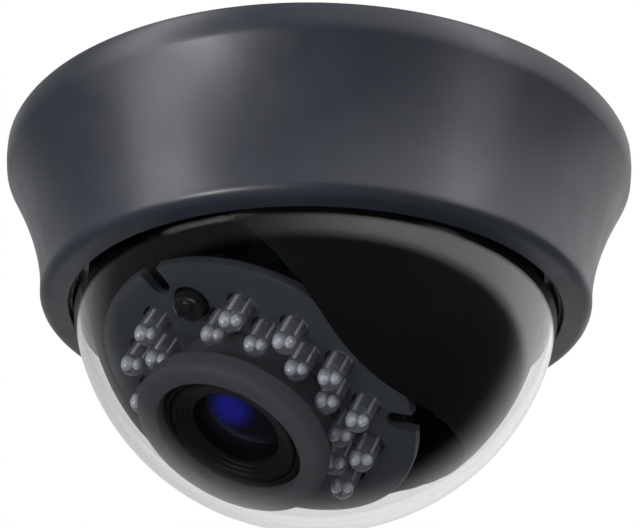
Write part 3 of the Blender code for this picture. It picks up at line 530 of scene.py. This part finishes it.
clear_finish = Finish("clear_dome", Base_Color=(0.97, 0.98, 0.985, 1.0), IOR=1.49,
                      Transmission_Weight=1.0)
clear_finish.drive("Roughness", clear_finish.between(clear_finish.cloud(60.0, 5.0), 0.0, 0.03))
let_light_in(clear_finish, (0.60, 0.61, 0.63, 1.0))
DOME_BANDS = 44
dome_profile = arc(DOME - DOME_WALL, -DOME_DROP, FLANGE_HIGH, DOME_BANDS, False)
dome_profile += [(FLANGE - 0.2 * MM, FLANGE_HIGH), (FLANGE, FLANGE_HIGH - 0.2 * MM),
                 (FLANGE, FLANGE_LOW + 0.2 * MM), (FLANGE - 0.2 * MM, FLANGE_LOW)]
dome_profile += arc(DOME, -DOME_DROP, FLANGE_LOW, DOME_BANDS)
bubble = piece("clear_bubble", spun(dome_profile, STEPS), "cover",
               ["dome_bubble"], clear_finish, sharp=60.0)
# The lamps light everything but the dome itself, so that they draw no bright panes on it.
unlit = bpy.data.collections.new("not_lit_by_soft_boxes")
unlit.objects.link(bubble)
unlit.collection_objects[0].light_linking.link_state = "EXCLUDE"
for lamp in [o for o in bpy.context.scene.objects if o.type == "LIGHT"]:
    lamp.light_linking.receiver_collection = unlit
seal_low, seal_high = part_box("dome_seal")
seal_bulge = -34.3 * MM
piece("bubble_seal", spun([(OPENING + 0.45 * MM, seal_low.z), (OPENING + 0.3 * MM, seal_bulge),
                           (OPENING + 0.45 * MM, seal_high.z),
                           (FLANGE - 0.2 * MM, seal_high.z), (FLANGE, seal_bulge),
                           (FLANGE - 0.2 * MM, seal_low.z)], STEPS, closed=True),
      "cover", ["dome_seal"], rubber_finish)
black_finish = grained("black_moulding", (0.006, 0.006, 0.007, 1.0), (0.010, 0.010, 0.011, 1.0),
                       0.50, 2400.0, 0.04 * MM, Specular_IOR_Level=0.3)
clamp_low, clamp_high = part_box("dome_clamp_ring")
clamp_inner = DOME - DOME_WALL + 0.4 * MM
piece("bubble_clamp", spun([(clamp_inner + 0.2 * MM, clamp_low.z),
                            (clamp_inner, clamp_low.z + 0.2 * MM),
                            (clamp_inner, clamp_high.z - 0.3 * MM),
                            (clamp_inner + 0.3 * MM, clamp_high.z),
                            (FLANGE - 0.3 * MM, clamp_high.z),
                            (FLANGE, clamp_high.z - 0.3 * MM),
                            (FLANGE, clamp_low.z)], STEPS, closed=True),
      "cover", ["dome_clamp_ring"], black_finish)


# ---------------------------------------------------------------- pan table and slotted liner
# The pan table turns under the base. It carries the liner, a thin black moulded shell that
# hides the works and leaves a long window for the lens to tilt in.

LINER, LINER_WALL, LINER_BANDS = 50.0 * MM, 1.2 * MM, 40
WINDOW_DOWN, WINDOW_WIDTH, WINDOW_LENGTH = 63.0, 67.6 * MM, 92.4 * MM
RIB, RIB_LOW, RIB_HIGH = 46.9 * MM, -5.8 * MM, -4.8 * MM
liner_inner = LINER - LINER_WALL
liner_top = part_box("inner_liner")[1].z
liner_profile = arc(liner_inner, -DOME_DROP, -DOME_DROP, LINER_BANDS, False)
liner_profile += [(liner_inner, RIB_LOW), (RIB, RIB_LOW), (RIB, RIB_HIGH),
                  (liner_inner, RIB_HIGH), (liner_inner, liner_top),
                  (LINER - 0.2 * MM, liner_top), (LINER, liner_top - 0.2 * MM)]
liner_profile += arc(LINER, -DOME_DROP, -DOME_DROP, LINER_BANDS)
liner_finish = grained("liner_black", (0.004, 0.004, 0.004, 1.0), (0.007, 0.007, 0.007, 1.0),
                       0.55, 2400.0, 0.03 * MM, Specular_IOR_Level=0.12)
liner = piece("slotted_liner", spun(liner_profile, STEPS), "pan",
              ["inner_liner"], liner_finish)
window = pill(WINDOW_WIDTH, WINDOW_LENGTH, 2.0 * LINER, (0.0, 0.0, LINER))
window_place = Matrix.Translation((0.0, 0.0, -DOME_DROP)) @ Matrix.Rotation(
    math.radians(90.0 + WINDOW_DOWN), 4, "X")
bmesh.ops.transform(window, matrix=window_place, verts=window.verts)
# The window's cut edge gets a grey finish many times lighter than the liner: a painted highlight
# for the light that the thin edge catches.
edge_highlight_finish = grained("liner_edge_painted_highlight", (0.055, 0.055, 0.055, 1.0),
                            (0.085, 0.085, 0.084, 1.0), 0.42, 1800.0, 0.02 * MM)
cut(liner, window)
# The cut edge's faces, and the bevel that softens them, take the painted highlight finish.
EDGE_SLOT = 1
liner.data.materials.append(edge_highlight_finish.material)
for face in liner.data.polygons:
    out = (face.center + Vector((0.0, 0.0, DOME_DROP))).length
    if face.center.z < -DOME_DROP and liner_inner + 0.1 * MM < out < LINER - 0.1 * MM:
        face.material_index = EDGE_SLOT
soften(liner, 0.32 * MM).modifiers["edge"].material = EDGE_SLOT


def dress(finish, *names):
    """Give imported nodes, whose shapes stay as they are, a finish."""
    for name in names:
        nodes[name].data.materials.clear()
        nodes[name].data.materials.append(finish.material)


dress(black_finish, "pan_table", "tilt_bracket", "module_frame")
nylon_finish = grained("natural_nylon", (0.55, 0.54, 0.49, 1.0), (0.63, 0.62, 0.57, 1.0), 0.5,
                       900.0, 0.03 * MM, Subsurface_Weight=0.1)
dress(nylon_finish, "pan_retainer", "board_connector")


# ---------------------------------------------------------------- screws and the roll nut
# Zinc-plated steel: the two tilt pivots, the roll nut and the small thumbscrews that lock the
# lens rings. The board screws are blackened.

def plated(name, tone, roughness):
    """Plated steel, faintly brushed, with small scuffs."""
    made = Finish(name, Metallic=1.0)
    scuff = made.cloud(1800.0, 5.0)
    made.drive("Base Color", made.blend(made.between(made.cloud(300.0), 0.0, 1.0),
                                        (tone, tone, tone * 1.02, 1.0),
                                        (tone * 0.8, tone * 0.8, tone * 0.82, 1.0)))
    made.drive("Roughness", made.between(scuff, roughness - 0.08, roughness + 0.1))
    made.relief(scuff, 0.01 * MM, 0.4)
    return made


steel_finish = plated("plated_steel", 0.56, 0.3)
black_steel_finish = plated("blackened_steel", 0.05, 0.38)
dress(steel_finish, "tilt_screw_left", "tilt_screw_right", "roll_nut", "zoom_lock_screw",
      "focus_lock_screw")


# ---------------------------------------------------------------- circuit boards and sensor
# Green boards with tinned tracks, one in the base and a square one that carries the image
# sensor. The board behind the LEDs has a black mask, so that its holes stay dark.

def tracks_on(finish):
    """The pattern of tracks of a board: 1 on a track and 0 beside it."""
    return finish.place.node(
        "TexBrick", {"offset": 0.5}, {"Vector": finish.place, "Scale": 320.0,
                                      "Mortar Size": 0.06, "Color1": (0.0, 0.0, 0.0, 1.0),
                                      "Color2": (0.15, 0.15, 0.15, 1.0),
                                      "Mortar": (1.0, 1.0, 1.0, 1.0)}, 1)


board_finish = Finish("circuit_board", Coat_Weight=0.35, Coat_Roughness=0.12)
tracks = tracks_on(board_finish)
board_finish.drive("Base Color", board_finish.blend(tracks, (0.010, 0.075, 0.030, 1.0),
                                                    (0.030, 0.160, 0.060, 1.0)))
board_finish.drive("Roughness", board_finish.between(board_finish.cloud(900.0), 0.34, 0.44))
board_finish.relief(tracks, 0.03 * MM, 0.5)
dress(board_finish, "power_board", "sensor_board")
black_board_finish = Finish("black_solder_mask", Specular_IOR_Level=0.3)
black_board_finish.drive("Base Color", black_board_finish.blend(
    tracks_on(black_board_finish), (0.006, 0.007, 0.006, 1.0), (0.012, 0.013, 0.012, 1.0)))
black_board_finish.drive("Roughness", black_board_finish.between(
    black_board_finish.cloud(900.0), 0.38, 0.50))
dress(black_board_finish, "led_board")
package_finish = grained("sensor_package", (0.012, 0.012, 0.013, 1.0),
                         (0.020, 0.020, 0.022, 1.0), 0.16, 1500.0, 0.005 * MM,
                         Coat_Weight=0.6)
dress(package_finish, "image_sensor")


# ---------------------------------------------------------------- varifocal lens
# A black anodised barrel in a moulded mount, with knurled zoom and focus rings, a coated front
# glass behind a stepped black retaining ring, and smaller glasses behind it.

roll = next(j for j in frame["joints"] if j["name"] == "roll")
LINE = Vector(roll["axis"])
ACROSS = Vector((1.0, 0.0, 0.0))
SIGHT = Matrix.Translation(roll["pos_m"]) @ Matrix(
    (ACROSS, LINE.cross(ACROSS), LINE)).transposed().to_4x4()


def along(node):
    """Middle, outer radius and lowest and highest level of a node in the lens's own frame."""
    back = SIGHT.inverted()
    points = [back @ v.co for v in nodes[node].data.vertices]
    middle = sum((Vector((p.x, p.y, 0.0)) for p in points), Vector()) / len(points)
    widest = max((Vector((p.x, p.y, 0.0)) - middle).length for p in points)
    return middle, widest, min(p.z for p in points), max(p.z for p in points)


def anodised(name, tone, roughness):
    """Black anodised aluminium, with the fine rings that turning leaves round the line of sight."""
    made = Finish(name, Specular_IOR_Level=0.25)
    local = made.place.node("Mapping", {"vector_type": "TEXTURE"}, {
        "Vector": made.place, "Location": SIGHT.to_translation(),
        "Rotation": SIGHT.to_euler()})
    rings = made.place.node("TexWave", {"wave_type": "RINGS", "rings_direction": "Z"},
                            {"Vector": local, "Scale": 900.0, "Distortion": 1.5, "Detail": 2.0})
    made.drive("Base Color", made.blend(made.between(made.cloud(500.0), 0.0, 1.0),
                                        (tone, tone, tone, 1.0),
                                        (tone * 1.5, tone * 1.5, tone * 1.6, 1.0)))
    made.drive("Roughness", made.between(rings, roughness - 0.05, roughness + 0.05))
    made.relief(rings, 0.01 * MM, 0.35)
    return made


barrel_finish = anodised("black_anodised", 0.008, 0.40)
_, head, barrel_back, head_front = along("lens_barrel")
HEAD_LENGTH, CLEAR = 15.6 * MM, 0.3 * MM
head_back = head_front - HEAD_LENGTH
_, glass, glass_seat, glass_top = along("front_lens")
_, ring, ring_seat, ring_front = along("lens_front_ring")
_, mount_outer, mount_low, mount_high = along("lens_mount")
BARREL, BARREL_BORE, THREAD = 10.0 * MM, 6.0 * MM, 7.3 * MM
THREAD_TURNS, BAFFLES = 6, 7
barrel_profile = [(head - 0.5 * MM, head_front), (head - 0.15 * MM, head_front - 0.15 * MM),
                  (head, head_front - 0.5 * MM), (head, head_back + 0.4 * MM),
                  (head - 0.4 * MM, head_back), (BARREL, head_back),
                  (BARREL, mount_high + CLEAR), (THREAD, mount_high + CLEAR)]
for groove in range(THREAD_TURNS):
    crest = mount_high - groove * (mount_high - barrel_back) / THREAD_TURNS
    barrel_profile += [(THREAD, crest), (THREAD - 0.25 * MM, crest - 0.35 * MM)]
barrel_profile += [(THREAD - 0.3 * MM, barrel_back), (BARREL_BORE, barrel_back)]
bore_top = glass_seat - CLEAR
for baffle in range(1, BAFFLES):
    brim = barrel_back + baffle * (bore_top - barrel_back) / BAFFLES
    barrel_profile += [(BARREL_BORE, brim - 0.4 * MM), (BARREL_BORE + 0.35 * MM, brim)]
barrel_profile += [(BARREL_BORE, bore_top), (glass + CLEAR, bore_top),
                   (glass + CLEAR, ring_seat - CLEAR), (ring + CLEAR, ring_seat - CLEAR),
                   (ring + CLEAR, head_front - CLEAR), (ring + CLEAR + 0.15 * MM, head_front)]
piece("lens_tube", spun(barrel_profile, 120, closed=True), "camera_module",
      ["lens_barrel"], barrel_finish, SIGHT)
RING_BORE, RING_TERRACES, TERRACE, RING_EDGE = 9.6 * MM, 3, 0.95 * MM, 0.35 * MM
ring_rise = (ring_front - ring_seat - RING_EDGE - 0.2 * MM) / RING_TERRACES
ring_profile = [(ring - 0.2 * MM, ring_front), (ring, ring_front - 0.2 * MM), (ring, ring_seat),
                (RING_BORE, ring_seat), (RING_BORE, ring_seat + RING_EDGE)]
for terrace in range(1, RING_TERRACES + 1):
    rise = ring_seat + RING_EDGE + terrace * ring_rise
    out = RING_BORE + terrace * TERRACE
    ring_profile += [(out - 0.2 * MM, rise - 0.25 * MM), (out, rise)]
ring_profile += [(ring - 0.75 * MM, ring_front)]
piece("lens_retaining_ring", spun(ring_profile, 120, closed=True), "camera_module",
      ["lens_front_ring"], barrel_finish, SIGHT)


def coated(name, tint, **constants):
    """Optical glass whose coating tints what it reflects."""
    made = Finish(name, IOR=1.7, Specular_Tint=tint, **constants)
    made.drive("Roughness", made.between(made.cloud(200.0, 4.0), 0.0, 0.02))
    return made


# The front glass's base colour has a painted blue reflection on one side of its middle. It is a
# blue patch that stands in for the coating's glint under light.
front_finish = coated("front_glass", (0.06, 0.05, 1.0, 1.0), Transmission_Weight=0.55)
painted_reflection_middle = SIGHT @ Vector((2.0 * MM, 4.4 * MM, glass_top))
from_painted_reflection = front_finish.place.node("VectorMath", {"operation": "DISTANCE"},
                                     {0: front_finish.place, 1: painted_reflection_middle}, 1)
painted_reflection = (1.0 - from_painted_reflection.ramp(1.0 * MM, 6.5 * MM)) * 0.9
front_finish.drive("Base Color", front_finish.blend(painted_reflection, (0.020, 0.020, 0.024, 1.0),
                                                    (0.05, 0.05, 0.75, 1.0)))
rear_finish = coated("inner_glass", (1.0, 0.55, 0.25, 1.0), Transmission_Weight=1.0,
                     Base_Color=(0.30, 0.28, 0.26, 1.0))
crown = glass_top - glass_seat - 2.0 * MM
front_profile = [(0.0, glass_top)]
for i in range(1, 17):
    share = i / 16.0
    front_profile.append((glass * share, glass_top - crown * share ** 2))
front_profile += [(glass, glass_seat + 0.2 * MM), (glass - 0.2 * MM, glass_seat)]
for i in range(1, 9):
    share = 1.0 - i / 8.0
    front_profile.append(((glass - 1.6 * MM) * share, glass_seat + 0.7 * MM * (1.0 - share ** 2)))
piece("front_glass", spun(front_profile, 96), "camera_module", ["front_lens"],
      front_finish, SIGHT, sharp=50.0)
_, rear, rear_low, rear_high = along("rear_lens")
rear_profile = [(0.0, rear_high)]
rear_profile += [(rear * i / 8.0, rear_high - 0.6 * MM * (i / 8.0) ** 2) for i in range(1, 9)]
rear_profile += [(rear, rear_low + 0.3 * MM)]
rear_profile += [(rear * (1.0 - i / 8.0), rear_low + 0.3 * MM * (1.0 - i / 8.0) ** 2)
                 for i in range(1, 9)]
piece("rear_glass", spun(rear_profile, 64), "camera_module", ["rear_lens"],
      rear_finish, SIGHT, sharp=50.0)
_, pane, pane_low, pane_high = along("ir_cut_filter")
piece("cut_filter", spun([(0.0, pane_high), (pane - 0.1 * MM, pane_high),
                          (pane, pane_high - 0.1 * MM), (pane, pane_low + 0.1 * MM),
                          (pane - 0.1 * MM, pane_low), (0.0, pane_low)], 64),
      "camera_module", ["ir_cut_filter"], rear_finish, SIGHT)
piece("lens_holder", spun([(7.6 * MM, mount_low), (mount_outer - 0.2 * MM, mount_low),
                           (mount_outer, mount_low + 0.2 * MM),
                           (mount_outer, mount_high - 0.4 * MM),
                           (mount_outer - 0.4 * MM, mount_high), (7.8 * MM, mount_high),
                           (7.6 * MM, mount_high - 0.2 * MM)], 72, closed=True),
      "camera_module", ["lens_mount"], black_finish, SIGHT)
RIBS, RIB_DEPTH = 48, 0.3 * MM
for name, body in (("zoom_ring", "zoom"), ("focus_ring", "focus")):
    _, outer, low, high = along(name)
    inner, root = BARREL + 0.4 * MM, outer - RIB_DEPTH
    knurled = spun([(inner, low), (root - 0.2 * MM, low), (root, low + 0.3 * MM),
                    (root, high - 0.3 * MM), (root - 0.2 * MM, high), (inner, high)], 96,
                   closed=True)
    for rib in range(RIBS):
        join(knurled, slab((2.0 * RIB_DEPTH, 0.45 * MM, high - low - 1.2 * MM),
                           (root, 0.0, (low + high) / 2.0), rib * 360.0 / RIBS, 0.1 * MM))
    piece("knurled_" + name, knurled, body, [name], black_finish, SIGHT)


# ---------------------------------------------------------------- LED cover plate
# A dark grey moulded disc in front of the LED board, with a hole for every LED, a larger one
# for the light sensor and three round-ended notches that clear the board screws.

plate_finish = grained("plate_plastic", (0.046, 0.051, 0.057, 1.0), (0.060, 0.066, 0.073, 1.0),
                       0.44, 2200.0, 0.04 * MM)
_, plate, plate_back, plate_front = along("led_cover_plate")
PLATE_BORE, LED_HOLE, SENSOR_GAP = 16.6 * MM, 3.2 * MM, 0.6 * MM
NOTCH_LENGTH, NOTCH_WIDTH = 12.0 * MM, 4.7 * MM
led_plate = piece("led_plate", spun([(plate - 0.6 * MM, plate_front),
                                     (plate - 0.18 * MM, plate_front - 0.18 * MM),
                                     (plate, plate_front - 0.6 * MM), (plate, plate_back),
                                     (PLATE_BORE, plate_back), (PLATE_BORE, plate_front)],
                                    144, closed=True),
                  "camera_module", ["led_cover_plate"], plate_finish, SIGHT)
leds = sorted(n for n in nodes if n.startswith("ir_led_"))
for name in leds:
    middle, _, _, _ = along(name)
    cut(led_plate, drill(LED_HOLE, plate_back - MM, plate_front + MM,
                         SIGHT @ Matrix.Translation(middle)))
sensor_middle, sensor, sensor_foot, sensor_top = along("light_sensor")
cut(led_plate, drill(sensor + SENSOR_GAP, plate_back - MM, plate_front + MM,
                     SIGHT @ Matrix.Translation(sensor_middle)))
board_screws = ["led_board_screw_1", "led_board_screw_2", "led_board_screw_3"]
for name in board_screws:
    middle, _, _, _ = along(name)
    out = middle.normalized()
    notch = pill(NOTCH_LENGTH, NOTCH_WIDTH, 8.0 * MM, (0.0, 0.0, 0.0))
    at_edge = Matrix.Translation((out.x * plate, out.y * plate, plate_front - MM))
    bmesh.ops.transform(notch, matrix=SIGHT @ at_edge @ Matrix.Rotation(
        math.atan2(out.y, out.x), 4, "Z"), verts=notch.verts)
    cut(led_plate, notch)
soften(led_plate, 0.2 * MM)


# ---------------------------------------------------------------- infra-red LEDs and light sensor
# Standard 5 mm water-clear LEDs: a moulded epoxy bullet with a rim at its foot, round a tinned
# lead frame, whose two thin legs carry two bright rounded heads. The light sensor is a dark
# rounded cap with a recessed middle.

led_finish = Finish("clear_epoxy", Base_Color=(0.93, 0.94, 0.96, 1.0), IOR=1.52,
                    Transmission_Weight=0.93)
led_finish.drive("Roughness", led_finish.between(led_finish.cloud(700.0, 4.0), 0.02, 0.10))
let_light_in(led_finish, (0.95, 0.95, 0.96, 1.0))
silver_finish = grained("tinned_lead_frame", (0.86, 0.86, 0.88, 1.0), (0.94, 0.94, 0.95, 1.0),
                        0.26, 1800.0, 0.01 * MM, Metallic=0.5)
LED_BODY, HEAD_ASIDE, HEAD_WIDE, HEAD_TALL = 2.5 * MM, 0.95 * MM, 0.85 * MM, 1.1 * MM
LEG, FRAME_TURN = 0.3 * MM, math.radians(-26.0)
lead_frames = bmesh.new()
for name in leds:
    middle, rim, foot, tip = along(name)
    dome_start = tip - LED_BODY
    bullet = [(0.0, tip)]
    bullet += [(LED_BODY * math.sin(math.radians(a)),
                dome_start + LED_BODY * math.cos(math.radians(a))) for a in range(10, 91, 10)]
    bullet += [(LED_BODY, foot + 1.0 * MM), (rim - 0.1 * MM, foot + 0.8 * MM),
               (rim, foot + 0.7 * MM), (rim, foot + 0.1 * MM), (rim - 0.1 * MM, foot),
               (0.0, foot)]
    here = SIGHT @ Matrix.Translation(middle)
    piece("led_" + name[-2:], spun(bullet, 40), "camera_module", [name],
          led_finish, here, sharp=40.0)
    head_middle = dome_start - 0.1 * MM
    head_profile = [(HEAD_WIDE * math.sin(math.radians(a)),
                     head_middle - HEAD_TALL * math.cos(math.radians(a)))
                    for a in range(0, 181, 15)]
    leg_low, leg_high = foot + 1.2 * MM, tip - 4.2 * MM
    lead_frame = bmesh.new()
    for aside in (-HEAD_ASIDE, HEAD_ASIDE):
        rounded_head = spun(head_profile, 24)
        bmesh.ops.translate(rounded_head, vec=(aside, 0.0, 0.0), verts=rounded_head.verts)
        join(lead_frame, rounded_head, slab((LEG, LEG, leg_high - leg_low),
                                            (aside, 0.0, (leg_low + leg_high) / 2.0)))
    bmesh.ops.transform(lead_frame, matrix=here @ Matrix.Rotation(FRAME_TURN, 4, "Z"),
                        verts=lead_frame.verts)
    join(lead_frames, lead_frame)
piece("led_lead_frames", lead_frames, "camera_module", [], silver_finish)
sensor_cap = [(0.0, sensor_top - 0.3 * MM), (0.34 * sensor, sensor_top - 0.3 * MM),
              (0.38 * sensor, sensor_top - 0.04 * MM)]
SENSOR_CROWN = 2.2 * MM
sensor_cap += [(sensor * math.sin(math.radians(a)),
                sensor_top - SENSOR_CROWN * (1.0 - math.cos(math.radians(a))))
               for a in range(30, 91, 10)]
piece("daylight_sensor", spun(sensor_cap + [(sensor, sensor_foot), (0.0, sensor_foot)], 48),
      "camera_module", ["light_sensor"], package_finish,
      SIGHT @ Matrix.Translation(sensor_middle), sharp=50.0)
HEAD_THICK, CROSS_ARM = 1.5 * MM, (2.0 * MM, 0.45 * MM, 1.6 * MM)
for name in board_screws:
    middle, head_radius, low, high = along(name)
    under, shank = high - HEAD_THICK, 1.0 * MM
    here = SIGHT @ Matrix.Translation(middle)
    screw = piece(name.replace("led_", "plate_"), spun(
        [(0.0, high), (0.7 * head_radius, high), (0.93 * head_radius, high - 0.2 * MM),
         (head_radius, high - 0.5 * MM), (head_radius, under), (shank, under), (shank, low),
         (0.0, low)], 40), "camera_module", [name], black_steel_finish, here)
    for arm in (20.0, 110.0):
        recess = slab(CROSS_ARM, (0.0, 0.0, high), arm)
        bmesh.ops.transform(recess, matrix=here, verts=recess.verts)
        cut(screw, recess)


# ---------------------------------------------------------------- rubber collar
# A soft rubber ring pushed over the lens head. It keeps the LEDs' light off the front glass,
# and its full round edge closes against the dome.

_, collar, collar_back, collar_front = along("lens_collar")
collar_bore = head + 0.4 * MM
COLLAR_FOOT, COLLAR_FACE, UNDERCUT = 17.3 * MM, 19.8 * MM, 40.3 * MM
collar_profile = [(collar_bore + 0.8 * MM, collar_front), (COLLAR_FACE - 0.5 * MM, collar_front),
                  (COLLAR_FACE, collar_front - 0.15 * MM),
                  (collar - 0.25 * MM, collar_front - 0.55 * MM), (collar, collar_front - 1.1 * MM),
                  (collar, UNDERCUT + 1.4 * MM), (collar - 0.4 * MM, UNDERCUT + 0.9 * MM),
                  (COLLAR_FOOT + 0.3 * MM, UNDERCUT), (COLLAR_FOOT, UNDERCUT - 0.3 * MM),
                  (COLLAR_FOOT, collar_back), (collar_bore, collar_back),
                  (collar_bore, collar_front - 0.8 * MM),
                  (collar_bore + 0.25 * MM, collar_front - 0.25 * MM)]
collar_finish = grained("collar_rubber", (0.076, 0.078, 0.079, 1.0),
                        (0.094, 0.096, 0.098, 1.0), 0.62, 2600.0, 0.05 * MM,
                        Specular_IOR_Level=0.2)
piece("light_collar", spun(collar_profile, 144, closed=True), "camera_module",
      ["lens_collar"], collar_finish, SIGHT)


# ---------------------------------------------------------------- floor finish and closing lines
# The floor is plain and pale, so that the light is soft and the object stands out.

floor_finish = grained("floor_pale", (0.80, 0.80, 0.80, 1.0), (0.83, 0.83, 0.83, 1.0), 0.8,
                       30.0, 0.1 * MM)
floor.data.materials.append(floor_finish.material)

low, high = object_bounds()
